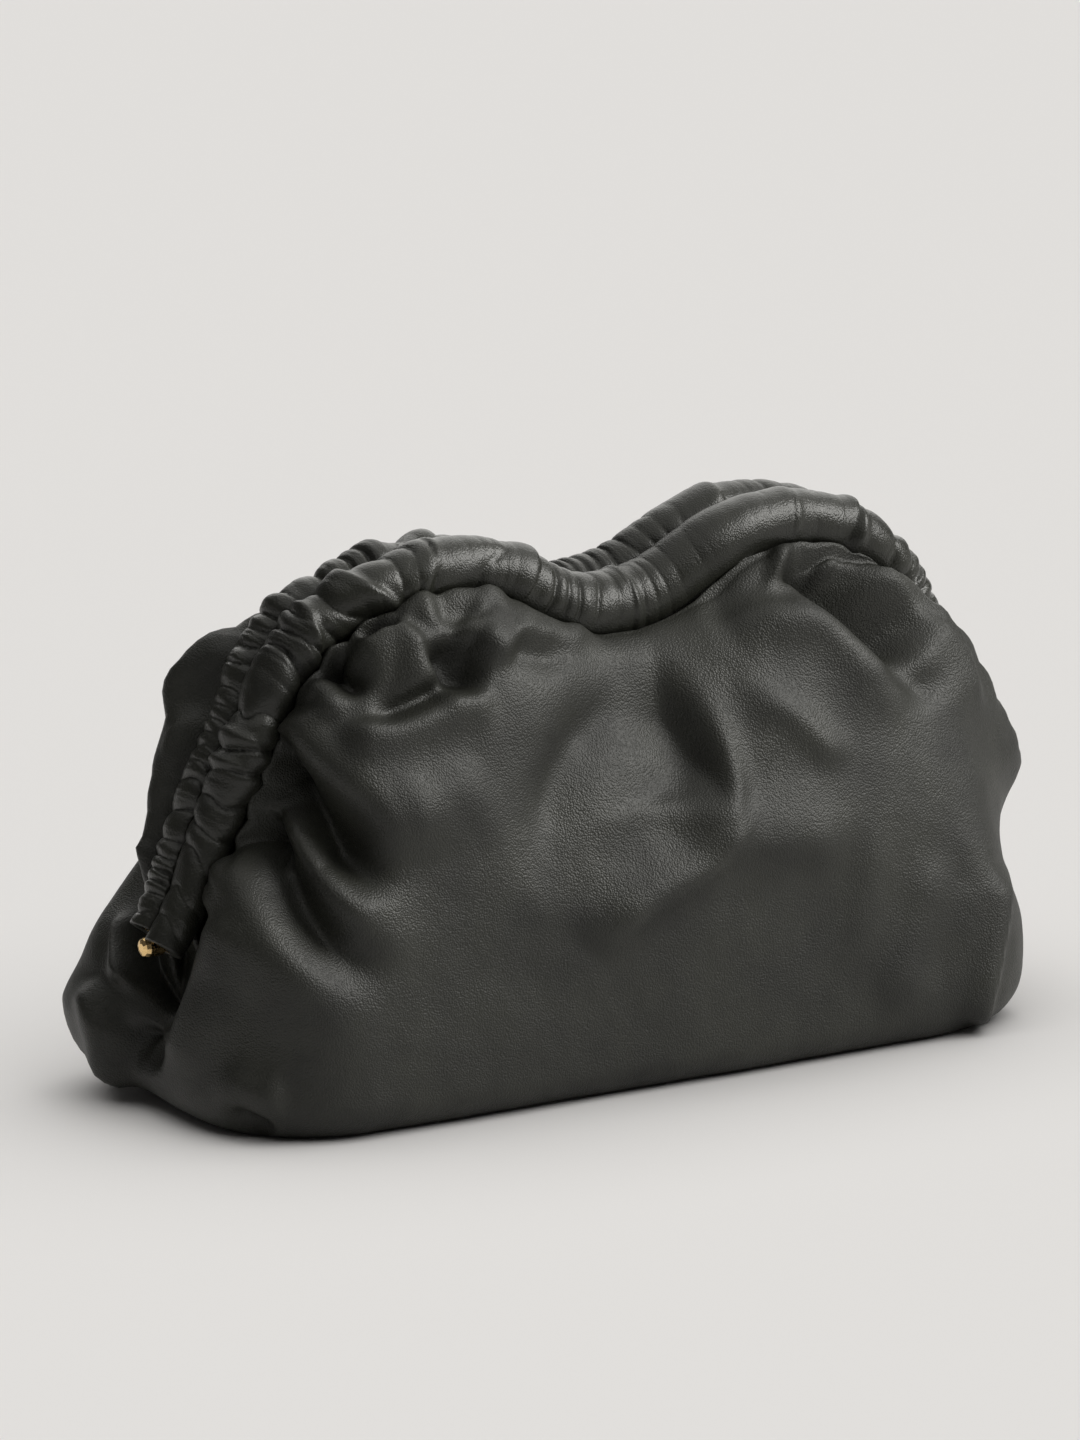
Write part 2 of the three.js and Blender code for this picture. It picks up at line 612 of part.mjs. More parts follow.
addPiece("body", bodyGeometry(), BLACK_LEATHER);
addPiece("front_sleeve", sleeve, BLACK_LEATHER);
addPiece("back_sleeve", mirrored(sleeve), BLACK_LEATHER);
addPiece("front_frame", bar, GOLD);
addPiece("back_frame", mirrored(bar), GOLD);
addPiece("hinge_left", hingeGeometry(), GOLD, hingePlace(-1));
addPiece("hinge_right", hingeGeometry(), GOLD, hingePlace(1));

export default bag;
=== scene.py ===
"""A soft black leather clutch bag, gathered onto a double-humped wire frame.

Sizes are in millimetres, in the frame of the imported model, and become metres when a mesh is made.
A place on the body is a girth, measured round the bag from the front centre with right positive,
and a level, from 0 at the mouth to 1 at the base. A place on a sleeve is a share along the rail of
the frame, from -1 at the left tip to 1 at the right tip, and an angle round the rail.
"""
import math
from collections import namedtuple

import bpy
import numpy as np
from mathutils import Matrix, Vector, noise
from mathutils.bvhtree import BVHTree


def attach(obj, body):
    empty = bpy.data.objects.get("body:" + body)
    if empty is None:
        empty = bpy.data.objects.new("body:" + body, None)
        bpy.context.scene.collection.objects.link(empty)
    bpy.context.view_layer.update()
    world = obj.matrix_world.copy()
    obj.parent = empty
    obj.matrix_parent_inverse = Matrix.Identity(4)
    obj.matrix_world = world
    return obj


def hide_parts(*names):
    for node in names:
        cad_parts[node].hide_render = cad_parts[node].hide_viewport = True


MM = 0.001
TINY = 1e-9  # keeps a division by a length of nothing possible

# Camera
VIEW_TURN = math.radians(35)
VIEW_RISE = math.radians(13)
CAMERA_DISTANCE = 5000
SENSOR = 36
PHOTO_WIDTH = 1080
PHOTO_HEIGHT = 1440
PIXELS_PER_MM = 3.03
ORIGIN_PIXEL = (583, 1046)  # where the photo shows the middle of the base

# Leather body
BODY_HALF_LENGTH = 165
BODY_HALF_DEPTH = 64
BODY_CORNER = 48  # corner radius of the widest outline, seen from above
BODY_SLUMP = -8  # the full part of the body leans this far along X
LEATHER = 1.8  # wall thickness
FLOOR_LEVEL = 0.88  # level where the rounding under the base starts
RISE_POWER = 2.1  # how square the wall's section is, upright and outward
SPREAD_POWER = 1.9
MOUTH_END = 0.1  # share of each half of the rail where the mouth closes
MOUTH_DRAW = 18  # how far the closed end is drawn in from the tip
MOUTH_SINK = 7  # and how far it is sunk under it
TIP_FAN = 0.25  # how far the wall's upright lines fan out from the tips
GIRTH_STEPS = 388
GIRTH_CROWDING = 0.34  # the narrowest faces are narrower than the average by this share
CROWDING_TURN = 0.5  # and lie this far to the left of the front centre, in radians
WALL_STEPS = 112

# Wire frame and its ruched sleeves
DIP_HEIGHT = 150
RAIL_SAMPLES = 200
BAR_END_SPREAD = 4.2  # distance of a bar's end from the middle plane
BAR_END = 0.9825  # share of each half of the rail that its bar covers
BAR_BEND_FROM = 0.965  # and where it starts to bend towards the hinge
BORE_RADIUS = 3.5  # clears the bar, which is straight between its rows
BORE_FLARE = 0.3  # the bore is this much wider at the tips
FLARE_FROM = 0.95
FRONT_SLEEVE_ENDS = (-0.999, 0.983)  # along the rail: the left tip covers half of the hinge
BACK_SLEEVE_ENDS = (-0.983, 0.983)
SLEEVE_SPREAD = 0.86  # distance of a sleeve's centre from the middle plane, in sleeve radii
BAR_SPREAD = 0.75  # and of its bar
SLEEVE_PARTING = 0.3  # each sleeve's inner side lies this far from the line where they meet
PARTING_SWAY = 1.0  # that line sways to both sides of the middle plane
PARTING_WAVE = 70
SWAY_FADE = 0.88  # from here to the tips it runs straight again
SLEEVE_ROWS = 760
SLEEVE_SIDES = 56
SEAM_ANGLE = math.radians(62)  # where the body meets a sleeve, from straight in
SEAM_GAP = 0.6
FOLD_GAP = 1.2  # clearance that the body's folds keep to a plain sleeve
RUCHE_GAP = 0.7  # and to its puffs
CLEAR_REACH = 7  # how far from a point of the body a sleeve's surface is looked for

# Where the folds are
FACING_FROM = -0.02  # a wall turned this far towards the view has no folds yet
FACING_RANGE = 0.22  # and this much further it has them in full
FRONT_CLAIM = 0.3  # a wall with this share of the front's folds has none of the back's
BACK_FOLD_SHARE = 0.85
MOUTH_FADE = 0.03  # range of levels at the mouth where the folds run out
BASE_FADE = 0.06  # and at the base
CALM_REACH = 130  # girth from a centre line beyond which the folds get shallower
CALM_SHARE = 0.85  # share of their height that is left at the ends
FOLD_STRENGTH = 1.3
VALLEY_STEEPNESS = 1.5
CREASE_ROUNDING = 0.8
FOLD_REACH = 3  # a fold is followed this many widths to its sides
LINE_STEPS = 6  # straight steps between two points of a fold's line
RELAX_SHARE = 0.5  # how far the leather evens out between its neighbours

# Soft unevenness of the leather: size of a dent and its depth
WRINKLES = [(34, 0.7), (14, 0.24), (6, 0.12)]

# Each half of the rail rises from the dip to a hump and falls to a tip. Shoulder is how far the
# curve is pulled out past the hump, and lean and rise are how far it is pulled in and up at the tip.
Half = namedtuple("Half", "side hump_x hump_z shoulder lean rise tip_x tip_z")
LEFT_HALF = Half(-1, 62, 170, 80, 38, 52, 170, 58)
RIGHT_HALF = Half(1, 67, 170, 58, 20, 54, 160, 58)

# How far the back sleeve lies below the front one
Sink = namedtuple("Sink", "along drop")
BACK_SINK = [
    Sink(-1.0, 0), Sink(-0.75, 1), Sink(-0.45, 4), Sink(-0.2, 3), Sink(0.0, 0), Sink(1.0, 0),
]

# Radius of both sleeves along each half of the rail
Radius = namedtuple("Radius", "along radius")
SLEEVE_RADII = [
    Radius(0.0, 12.0), Radius(0.2, 11.6), Radius(0.45, 10.0),
    Radius(0.6, 8.8), Radius(0.8, 7.8), Radius(1.0, 6.8),
]

# Radius of the rounding under the base
Rounding = namedtuple("Rounding", "girth radius")
BASE_ROUNDING = [
    Rounding(-414, 12), Rounding(-322, 14), Rounding(-288, 20), Rounding(-256, 29),
    Rounding(-230, 28), Rounding(-207, 22), Rounding(-166, 15), Rounding(-117, 12),
    Rounding(0, 10), Rounding(107, 10), Rounding(146, 14), Rounding(200, 25),
    Rounding(256, 18), Rounding(322, 12), Rounding(414, 12),
]

# Broad swellings and hollows: wide is along the girth, tall is along the level
Swelling = namedtuple("Swelling", "name girth level wide tall height")
SWELLINGS = [
    Swelling("back_left_shoulder", -288, 0.16, 42, 0.115, 13),
    Swelling("back_left_corner", -254, 0.88, 22, 0.12, 10.5),
    Swelling("back_left_chamfer", -256, 0.955, 28, 0.045, -5),
    Swelling("back_left_waist", -258, 0.365, 34, 0.135, -19),
    Swelling("back_left_edge", -258, 0.68, 30, 0.13, 3.5),
    Swelling("right_waist", 172, 0.57, 36, 0.13, -5.5),
    Swelling("right_shoulder", 166, 0.18, 36, 0.14, 13),
    Swelling("front_shelf", 40, 0.62, 70, 0.2, 3),
    Swelling("right_flank_roll", 122, 0.09, 34, 0.08, 8),
]

# Folds along lines given as across and up from the middle of the base, seen as the camera sees it.
# Left and right are the half widths beside the line as it is followed, flare is how many times as
# wide it ends, and a fold with back is repeated on the back, turned half round.
Fold = namedtuple("Fold", "name line height left right fade_in fade_out flare back")
FOLDS = [
    Fold("end_tuck",
         [(-118, 48), (-122, 42), (-127, 33), (-131, 23), (-135, 13), (-139, 4), (-146, -9)],
         -13, 3, 8, .2, .15, 1, True),
    Fold("corner_lobe", [(-113, 47), (-119, 38), (-124, 28), (-128, 16), (-133, 5), (-138, -6)],
         4, 11, 3, .2, .2, 1, True),
    Fold("tuck_ridge", [(-131, 24), (-137, 12), (-142, 4), (-147, -3)],
         5, 3, 2.5, .3, .3, 1, False),
    Fold("tuck_crease", [(-144, 11), (-147, 4), (-150, -3), (-149, -11)],
         -5, 2, 2, .3, .2, 1, False),
    Fold("end_back_edge", [(-157, 26), (-156, 14), (-153, 4), (-151, -5), (-148, -13)],
         7, 2, 7, .2, .1, 1, False),
    Fold("end_ridge", [(-146, 47), (-148, 38), (-149, 28), (-150, 19)],
         6, 3.5, 4, .3, .3, 1, False),
    Fold("end_upper_ridge", [(-140, 70), (-148, 60), (-160, 46)], 4, 3, 9, .3, .3, 1, False),
    Fold("back_shoulder_fold", [(-110, 128), (-121, 125), (-131, 118), (-137, 109)],
         5, 3, 11, .1, .2, 1, False),
    Fold("back_shoulder_ridge", [(-123, 108), (-130, 102), (-137, 94)], 3, 4, 4, .3, .3, 1, False),
    Fold("low_flank_ridge",
         [(-112, 74), (-110, 62), (-108, 50), (-101, 37), (-90, 25), (-78, 16), (-58, 6)],
         6.5, 8, 14, .3, .45, 1.3, True),
    Fold("low_flank_valley", [(-110, 78), (-100, 66), (-91, 50), (-78, 34), (-60, 21)],
         -10, 5, 5, .05, .4, 1.6, True),
    Fold("low_flank_crease", [(-110, 78), (-103, 70), (-97, 59)], -4, 2.5, 2.5, .1, .4, 1, False),
    Fold("middle_flank_ridge", [(-104, 86), (-94, 67), (-86, 57), (-72, 40), (-48, 33)],
         5.5, 8, 7, .2, .45, 1.5, True),
    Fold("upper_flank_valley", [(-101, 101), (-96, 92), (-82, 78), (-72, 66), (-66, 46)],
         -14, 4, 9, .05, .3, 1.4, True),
    Fold("upper_flank_ridge", [(-97, 107), (-89, 94), (-76, 83), (-65, 72), (-60, 56)],
         4.5, 14, 5, .1, .3, 1.3, True),
    Fold("hump_swag", [(-80, 102), (-70, 104), (-60, 106), (-45, 113), (-37, 116), (-29, 119)],
         4, 3, 9, .2, .2, 1, True),
    Fold("hump_swag_hollow", [(-70, 109), (-60, 111), (-50, 115), (-42, 117)],
         -4, 5, 4, .3, .3, 1, True),
    Fold("hump_low_swag", [(-62, 78), (-46, 83), (-30, 93)], 1.5, 8, 12, .3, .3, 1, False),
    Fold("hump_small_puff", [(-89, 120), (-85, 117), (-81, 112), (-78, 106)],
         3.5, 7, 6, .4, .4, 1, False),
    Fold("pinch_crease", [(-85, 126), (-76, 120), (-69, 115)], -7, 2.5, 3, .05, .5, 1, True),
    Fold("pinch_upper_crease", [(-85, 126), (-80, 128), (-73, 130)], -5, 2, 2.5, .05, .5, 1, False),
    Fold("hump_puff",
         [(-77, 127), (-70, 130), (-63, 134), (-58, 134), (-53, 129), (-48, 122), (-46, 118)],
         5, 3.5, 11, .2, .2, 1, True),
    Fold("hump_upper_crease", [(-73, 134), (-66, 138), (-58, 137)], -5, 2.5, 2.5, .2, .2, 1, False),
    Fold("hump_upper_puff", [(-70, 142), (-63, 140), (-57, 136)], 3, 4, 4, .3, .3, 1, False),
    Fold("hump_pocket", [(-48, 135), (-44, 125), (-38, 121), (-30, 121)],
         -7.5, 11, 4, .2, .3, 1, True),
    Fold("crown_puff",
         [(-56, 136), (-54, 142), (-49, 146), (-42, 149), (-36, 150), (-29, 148), (-25, 142)],
         4, 5, 8, .3, .3, 1, True),
    Fold("crown_hollow", [(-51, 140), (-44, 143), (-36, 142), (-31, 138)],
         -4, 5, 5, .3, .3, 1, True),
    Fold("crown_flank", [(-41, 139), (-34, 135), (-28, 131), (-23, 127)],
         4, 9, 5, .2, .3, 1, False),
    Fold("dip_lip", [(-25, 138), (-8, 135), (6, 134)], 3, 6, 4, .2, .4, 1, True),
    Fold("dip_lip_hollow", [(-24, 131), (-14, 129), (-3, 127)], -2.5, 6, 5, .2, .4, 1, False),
    Fold("dip_left_valley", [(15, 132), (9, 114), (-1, 98), (-9, 80), (-12, 62), (-9, 44)],
         -5, 8, 8, .36, .5, 1.3, True),
    Fold("dip_right_valley", [(20, 136), (28, 114), (36, 99), (42, 86), (43, 75)],
         -7.5, 4, 12, .34, .45, 1.2, True),
    Fold("dip_crescent",
         [(33, 126), (42, 104), (46, 87), (45, 73), (39, 60), (22, 50), (8, 38), (2, 31)],
         5, 6, 11, .3, .25, 1, True),
    Fold("rim_hollow", [(36, 143), (50, 151), (62, 155), (75, 152)], -3, 6, 9, .2, .2, 1, True),
    Fold("right_drape", [(42, 136), (60, 142), (76, 142), (88, 135), (100, 119), (113, 107)],
         4, 5, 9, .3, .3, 1, True),
    Fold("right_valley", [(69, 164), (80, 156), (90, 145), (100, 136), (113, 129)],
         -15, 13, 5, .05, .2, 1, True),
    Fold("right_flap", [(60, 162), (68, 160), (73, 150)], 3, 4, 8, .3, .3, 1, False),
    Fold("right_puff", [(71, 164), (80, 167), (88, 161)], 5, 4, 4, .2, .2, 1, True),
    Fold("right_small_puff", [(88, 163), (94, 167), (101, 162)], 4, 4, 4, .2, .2, 1, False),
    Fold("right_shoulder_ridge", [(98, 166), (108, 151), (114, 138), (128, 125), (141, 109)],
         4, 4, 12, .15, .2, 1, True),
    Fold("right_shoulder_hollow", [(99, 129), (108, 122), (119, 113)], -3, 6, 6, .3, .3, 1, False),
    Fold("right_soft_ridge", [(48, 120), (66, 111), (78, 101), (87, 92)],
         2.2, 5, 6, .3, .3, 1, True),
    Fold("right_shelf", [(44, 73), (56, 67), (74, 68), (90, 61)], 3, 14, 8, .2, .3, 1, True),
    Fold("right_faint_ridge", [(98, 84), (95, 62), (92, 40), (88, 18)],
         1.2, 7, 7, .4, .4, 1, False),
    Fold("right_upright_ridge", [(119, 68), (111, 38), (98, 6)], 2, 9, 8, .3, .3, 1, True),
    Fold("right_upright_valley", [(127, 68), (120, 44), (112, 14)], -1.5, 8, 9, .3, .3, 1, True),
    Fold("right_edge_ridge", [(137, 84), (134, 68), (131, 56), (127, 44), (122, 22), (118, 8)],
         1.6, 6, 9, .4, .4, 1, True),
    Fold("gusset_edge", [(139, 62), (137, 40), (134, 22), (130, 6)], 4, 2.5, 6, .2, .1, 1, False),
    Fold("corner_bulge", [(-120, -5), (-106, -13), (-94, -14)], 3, 8, 8, .3, .3, 1, False),
    Fold("corner_crease", [(-116, -17), (-107, -22), (-99, -26)], -4, 2.5, 2.5, .3, .3, 1, False),
]

# Small pleats where the body is gathered onto the sleeves: at the level of their reach half of
# their height is left, and at twice that level nothing
Pleat = namedtuple("Pleat", "girth spacing height reach")
PLEATS = [
    Pleat(-414, 14, 1.0, 0.08), Pleat(-300, 10, 2.4, 0.16), Pleat(-207, 9, 2.6, 0.16),
    Pleat(-150, 10, 3.0, 0.16), Pleat(-95, 11, 3.2, 0.13), Pleat(-60, 14, 2.2, 0.1),
    Pleat(-30, 16, 1.0, 0.07), Pleat(0, 14, 0.5, 0.06), Pleat(60, 18, 0.7, 0.08),
    Pleat(90, 13, 2.0, 0.12), Pleat(140, 10, 2.8, 0.15), Pleat(207, 9, 2.4, 0.16),
    Pleat(300, 10, 2.4, 0.16), Pleat(414, 14, 1.0, 0.08),
]
PLEAT_SHARPNESS = 0.7
PLEAT_MIDDLE = 0.5  # share of a pleat's height that lies below the plain wall
PLEAT_WANDER = 0.5  # how far a pleat wanders, in pleat distances
WANDER_GIRTH = 15  # pleats wander together within this girth
WANDER_ROWS = 5  # and change their way this many times down the wall
WANDER_SEED = 3

# Gathers of the sleeves: distance between creases, their depth, and how far they lean
Ruche = namedtuple("Ruche", "along spacing depth lean")
FRONT_RUCHES = [
    Ruche(-1.0, 12, 0.6, 3), Ruche(-0.85, 12, 0.9, 5), Ruche(-0.7, 10, 1.6, -4),
    Ruche(-0.58, 11, 2.1, 5), Ruche(-0.46, 12, 2.3, -6), Ruche(-0.36, 13, 1.9, 7),
    Ruche(-0.25, 15, 1.1, 4), Ruche(-0.14, 11, 1.2, 2), Ruche(-0.02, 6, 0.6, 1),
    Ruche(0.1, 6, 0.4, 0), Ruche(0.17, 10, 0.3, 1), Ruche(0.38, 17, 0.4, 3),
    Ruche(0.48, 10, 1.5, -2), Ruche(0.58, 7, 1.5, 3), Ruche(1.0, 7, 1.2, 3),
]
BACK_RUCHES = [
    Ruche(-1.0, 7, 1.2, 2), Ruche(-0.7, 6, 1.6, 3), Ruche(-0.5, 7, 1.8, -3),
    Ruche(-0.3, 9, 1.7, 4), Ruche(-0.1, 6, 1.3, 2), Ruche(0.05, 6, 0.9, 1),
    Ruche(0.25, 11, 0.5, 3), Ruche(0.5, 8, 1.3, -3), Ruche(1.0, 6, 1.3, 2),
]
RUCHE_DEPTH = 2.1
RUCHE_SHARPNESS = 0.42
RUCHE_WANDER = 0.5  # how far a crease wanders, in crease distances
WANDER_LENGTH = 17  # creases wander together within this length
WANDER_TURN = 0.6  # and differently round the sleeve, more so the larger this is
RUCHE_BUNCHING = 1.1  # how far creases crowd together, in crease distances
BUNCH_LENGTH = 24
CREASE_STRENGTH = 0.8  # how deep creases are on average, and how much they differ
CREASE_VARIETY = 1.1
CREASE_TURN = 0.9  # creases fade out round the sleeve, faster the larger this is
CREASE_STEP = 3.7  # distance of two creases in the noise that their depth is read from
PUFF_FULLNESS = 0.75  # how high puffs are on average, and how much they differ
PUFF_VARIETY = 0.25
PUFF_STEP = 12.9898  # phase from one puff to the next, so that none is like its neighbour
PUFF_MIDDLE = 0.6  # share of a puff's height that lies below the plain sleeve
FINE_RUCHE = 0.45  # small creases between the others: their distance and depth as shares
FINE_DEPTH = 0.14
FINENESS_SEED = 10  # keeps the noise of large and small creases apart
STRENGTH_SEED = 5
MID_NOISE = 0.5  # noise is nothing at whole numbers, so a line of it is read halfway
GATHER_TURN = 1.25  # the gathers fade out where a sleeve is turned to the inside
GATHER_RANGE = 1.5

# Folds that stand out from the sleeves: steep is the right side's width as a share of the left's
Loop = namedtuple("Loop", "along width height lean steep")
FRONT_LOOPS = [
    Loop(-0.735, 4, 1.6, 2, 0.5), Loop(-0.7, 4, 1.4, 3, 0.5), Loop(-0.53, 5, 2.2, 6, 0.4),
    Loop(-0.41, 7, 2.6, -7, 0.3), Loop(-0.345, 6, 1.6, 8, 0.4), Loop(-0.17, 5, 1.7, 2, 0.4),
    Loop(0.03, 2.2, 0.9, 0, 0.7), Loop(0.335, 4, 0.8, 2, 0.5), Loop(0.455, 3.5, 2.2, -1, 0.6),
]
BACK_LOOPS = [
    Loop(-0.6, 5, 1.6, 3, 0.5), Loop(-0.47, 5, 1.8, -4, 0.5), Loop(-0.36, 6, 2.0, 4, 0.4),
    Loop(-0.27, 5, 1.8, 2, 0.5), Loop(0.25, 6, 1.4, 5, 0.4),
]

# Leather and metal
Leather = namedtuple("Leather", "name rough smooth pebbling")
BODY_LEATHER = Leather("black_leather", 0.54, 0.43, 0.75)
SLEEVE_LEATHER = Leather("ruched_black_leather", 0.44, 0.3, 0.45)
LEATHER_DARK = (0.0095, 0.0098, 0.0075, 1)
LEATHER_LIGHT = (0.0215, 0.0222, 0.0172, 1)
LEATHER_SPECULAR = 0.4
GRAIN_SIZE = 0.64
GRAIN_SMOOTHNESS = 0.35
GRAIN_DEPTH = 0.26
PORE_SIZE = 0.35
PORE_DETAIL = 2
PORE_STRENGTH = 0.2
PORE_DEPTH = 0.1
WEAR_SIZE = 26
WEAR_DETAIL = 4
NOISE_LOW = 0.3  # most of a noise texture lies between these values
NOISE_HIGH = 0.7
METAL_NODES = ("front_frame", "back_frame", "hinge_left", "hinge_right")
GOLD = (0.83, 0.58, 0.27, 1)
GOLD_SMOOTH = 0.16
GOLD_ROUGH = 0.3
RUB_SIZE = 1.5
RUB_DETAIL = 5

# Studio: towards is the way to a light, and softness is the angle it fills, in degrees
Light = namedtuple("Light", "name towards strength softness")
OVERHEAD_LIGHT = Light("overhead_light", (0.2, -0.1, 1), 1.35, 100)
KEY_LIGHT = Light("key_light", (0.85, -0.57, 0.66), 2.9, 36)
RIM_LIGHT = Light("rim_light", (0.6, 0.8, 0.45), 0.9, 50)
FLOOR_LIGHT = Light("floor_light", (0.1, -0.1, 1), 1.44, 100)
WARM_LIGHT = (1, 0.99, 0.955)
FLOOR_COLOUR = (0.8, 0.79, 0.795, 1)
FLOOR_SIZE = 60000
FLOOR_ROUGHNESS = 0.9
FLOOR_SPECULAR = 0.1
BACKDROP_COLOUR = (0.76, 0.74, 0.715, 1)
BACKDROP_STRENGTH = 0.1


def column(rows, name):
    return np.array([getattr(row, name) for row in rows], float)


def table_value(rows, key, name, places):
    return np.interp(places, column(rows, key), column(rows, name))


def ease(value):
    value = np.clip(value, 0, 1)
    return value * value * (3 - 2 * value)


def smooth_noise(points, seed):
    """Smooth noise between about -1 and 1 for each row of points."""
    offset = Vector((seed, 0.0, seed))
    return np.array([noise.noise(Vector(point) + offset) for point in points])


def unit(vectors):
    return vectors / np.maximum(np.linalg.norm(vectors, axis=-1, keepdims=True), TINY)


# Camera and views


def view_axes(turn):
    """Directions across, up and away from an eye that looks at the bag from this turn."""
    flat = math.cos(VIEW_RISE)
    away = np.array([math.sin(turn) * flat, math.cos(turn) * flat, -math.sin(VIEW_RISE)])
    across = np.array([math.cos(turn), -math.sin(turn), 0.0])
    return across, np.cross(across, away), away


FRONT_VIEW = view_axes(VIEW_TURN)
BACK_VIEW = view_axes(VIEW_TURN + math.pi)


def add_camera():
    across, up, away = FRONT_VIEW
    origin_x, origin_y = ORIGIN_PIXEL
    aim = -across * (origin_x - PHOTO_WIDTH / 2) + up * (origin_y - PHOTO_HEIGHT / 2)
    place = (aim / PIXELS_PER_MM - away * CAMERA_DISTANCE) * MM
    data = bpy.data.cameras.new("camera")
    data.sensor_width = SENSOR
    data.lens = PIXELS_PER_MM * CAMERA_DISTANCE * SENSOR / PHOTO_HEIGHT
    data.clip_end = FLOOR_SIZE * MM
    camera = bpy.data.objects.new("camera", data)
    axes = Matrix([list(across), list(up), list(-away)]).transposed()
    camera.matrix_world = Matrix.Translation(place) @ axes.to_4x4()
    bpy.context.scene.collection.objects.link(camera)
    bpy.context.scene.camera = camera


# Rail of the frame


def bezier(points, shares):
    start, first, second, end = np.array(points, float)
    t = shares[:, None]
    rest = 1 - t
    return rest**3 * start + 3 * t * rest**2 * first + 3 * t * t * rest * second + t**3 * end


def half_rail(half):
    """Points of one half of the rail, from the dip over the hump to the tip, evenly spaced."""
    shares = np.linspace(0, 1, RAIL_SAMPLES)
    middle = half.hump_x / 2
    hump = (half.hump_x, half.hump_z)
    inner = bezier([(0, DIP_HEIGHT), (middle, DIP_HEIGHT), (middle, half.hump_z), hump], shares)
    shoulder = (half.hump_x + half.shoulder, half.hump_z)
    lean = (half.tip_x - half.lean, half.tip_z + half.rise)
    outer = bezier([hump, shoulder, lean, (half.tip_x, half.tip_z)], shares)
    points = np.vstack([inner, outer[1:]])
    steps = np.linalg.norm(np.diff(points, axis=0), axis=1)
    length = np.concatenate([[0], np.cumsum(steps)])
    even = np.linspace(0, length[-1], RAIL_SAMPLES)
    x, z = [np.interp(even, length, points[:, axis]) for axis in (0, 1)]
    return np.stack([half.side * x, z], 1), length[-1]


LEFT_POINTS, LEFT_LENGTH = half_rail(LEFT_HALF)
RIGHT_POINTS, RIGHT_LENGTH = half_rail(RIGHT_HALF)
RAIL_POINTS = np.vstack([LEFT_POINTS[::-1], RIGHT_POINTS[1:]])
RAIL_ALONG = np.linspace(-1, 1, len(RAIL_POINTS))
RAIL_TANGENTS = unit(np.gradient(RAIL_POINTS, axis=0))
HALF_LENGTH = (LEFT_LENGTH + RIGHT_LENGTH) / 2


def rail_at(along):
    """Place and inward normal of the rail, as x, z, inward x and inward z."""
    values = (RAIL_POINTS[:, 0], RAIL_POINTS[:, 1], RAIL_TANGENTS[:, 1], -RAIL_TANGENTS[:, 0])
    return [np.interp(along, RAIL_ALONG, value) for value in values]


def sleeve_radius(along):
    return table_value(SLEEVE_RADII, "along", "radius", np.abs(along))


# Plain form of the body

STRAIGHT_LENGTH = BODY_HALF_LENGTH - BODY_CORNER
STRAIGHT_DEPTH = BODY_HALF_DEPTH - BODY_CORNER
CORNER_LENGTH = math.pi / 2 * BODY_CORNER
QUARTER_GIRTH = STRAIGHT_LENGTH + CORNER_LENGTH + STRAIGHT_DEPTH


def wrap_girth(girth):
    return (girth + 2 * QUARTER_GIRTH) % (4 * QUARTER_GIRTH) - 2 * QUARTER_GIRTH


def quarter_of(girth):
    """Distance from the nearer centre line, end of the bag and side of the bag."""
    girth = wrap_girth(girth)
    back = np.abs(girth) > QUARTER_GIRTH
    reach = np.where(back, 2 * QUARTER_GIRTH - np.abs(girth), np.abs(girth))
    return reach, np.where(girth < 0, -1, 1), np.where(back, 1, -1)


def outline_at(girth):
    """The widest outline, seen from above, and its outward direction."""
    reach, end, face = quarter_of(girth)
    angle = np.clip((reach - STRAIGHT_LENGTH) / BODY_CORNER, 0, math.pi / 2)
    past = np.maximum(0, reach - STRAIGHT_LENGTH - CORNER_LENGTH)
    x = np.minimum(reach, STRAIGHT_LENGTH) + BODY_CORNER * np.sin(angle)
    y = STRAIGHT_DEPTH + BODY_CORNER * np.cos(angle) - past
    core = np.stack([np.minimum(x, STRAIGHT_LENGTH), np.minimum(y, STRAIGHT_DEPTH)], -1)
    out = unit(np.stack([x, y], -1) - core)
    return end * x, face * y, end * out[..., 0], face * out[..., 1]


def mouth_at(girth):
    """The mouth closes to a point just short of each tip, drawn in and sunk under it."""
    reach, end, face = quarter_of(girth)
    share = reach / QUARTER_GIRTH
    along = end * (share + TIP_FAN * share**2 * np.sin(math.pi * share))
    x, z, in_x, in_z = rail_at(along)
    radius = sleeve_radius(along) + SEAM_GAP
    closing = np.clip((np.abs(along) - 1 + MOUTH_END) / MOUTH_END, 0, 1)
    inward = radius * math.cos(SEAM_ANGLE)
    spread = radius * (SLEEVE_SPREAD + math.sin(SEAM_ANGLE)) * (1 - closing**2)
    mouth_x = x + inward * in_x - end * MOUTH_DRAW * closing
    return mouth_x, face * spread, z + inward * in_z - MOUTH_SINK * closing


def plain_wall(girth, level):
    mouth_x, mouth_y, mouth_z = mouth_at(girth)
    x, y, out_x, out_y = outline_at(girth)
    rounding = table_value(BASE_ROUNDING, "girth", "radius", wrap_girth(girth))
    fall = np.clip(level / FLOOR_LEVEL, 0, 1) * math.pi / 2
    turn = np.clip((level - FLOOR_LEVEL) / (1 - FLOOR_LEVEL), 0, 1) * math.pi / 2
    spread = np.sin(fall) ** (2 / SPREAD_POWER)
    height = np.maximum(np.cos(fall), 0) ** (2 / RISE_POWER)
    inset = rounding * (1 - np.cos(turn))
    wall_z = rounding + (mouth_z - rounding) * height
    return np.stack([
        mouth_x + (x - mouth_x + BODY_SLUMP) * spread - inset * out_x,
        mouth_y + (y - mouth_y) * spread - inset * out_y,
        np.where(turn > 0, rounding * (1 - np.sin(turn)), wall_z),
    ], -1)


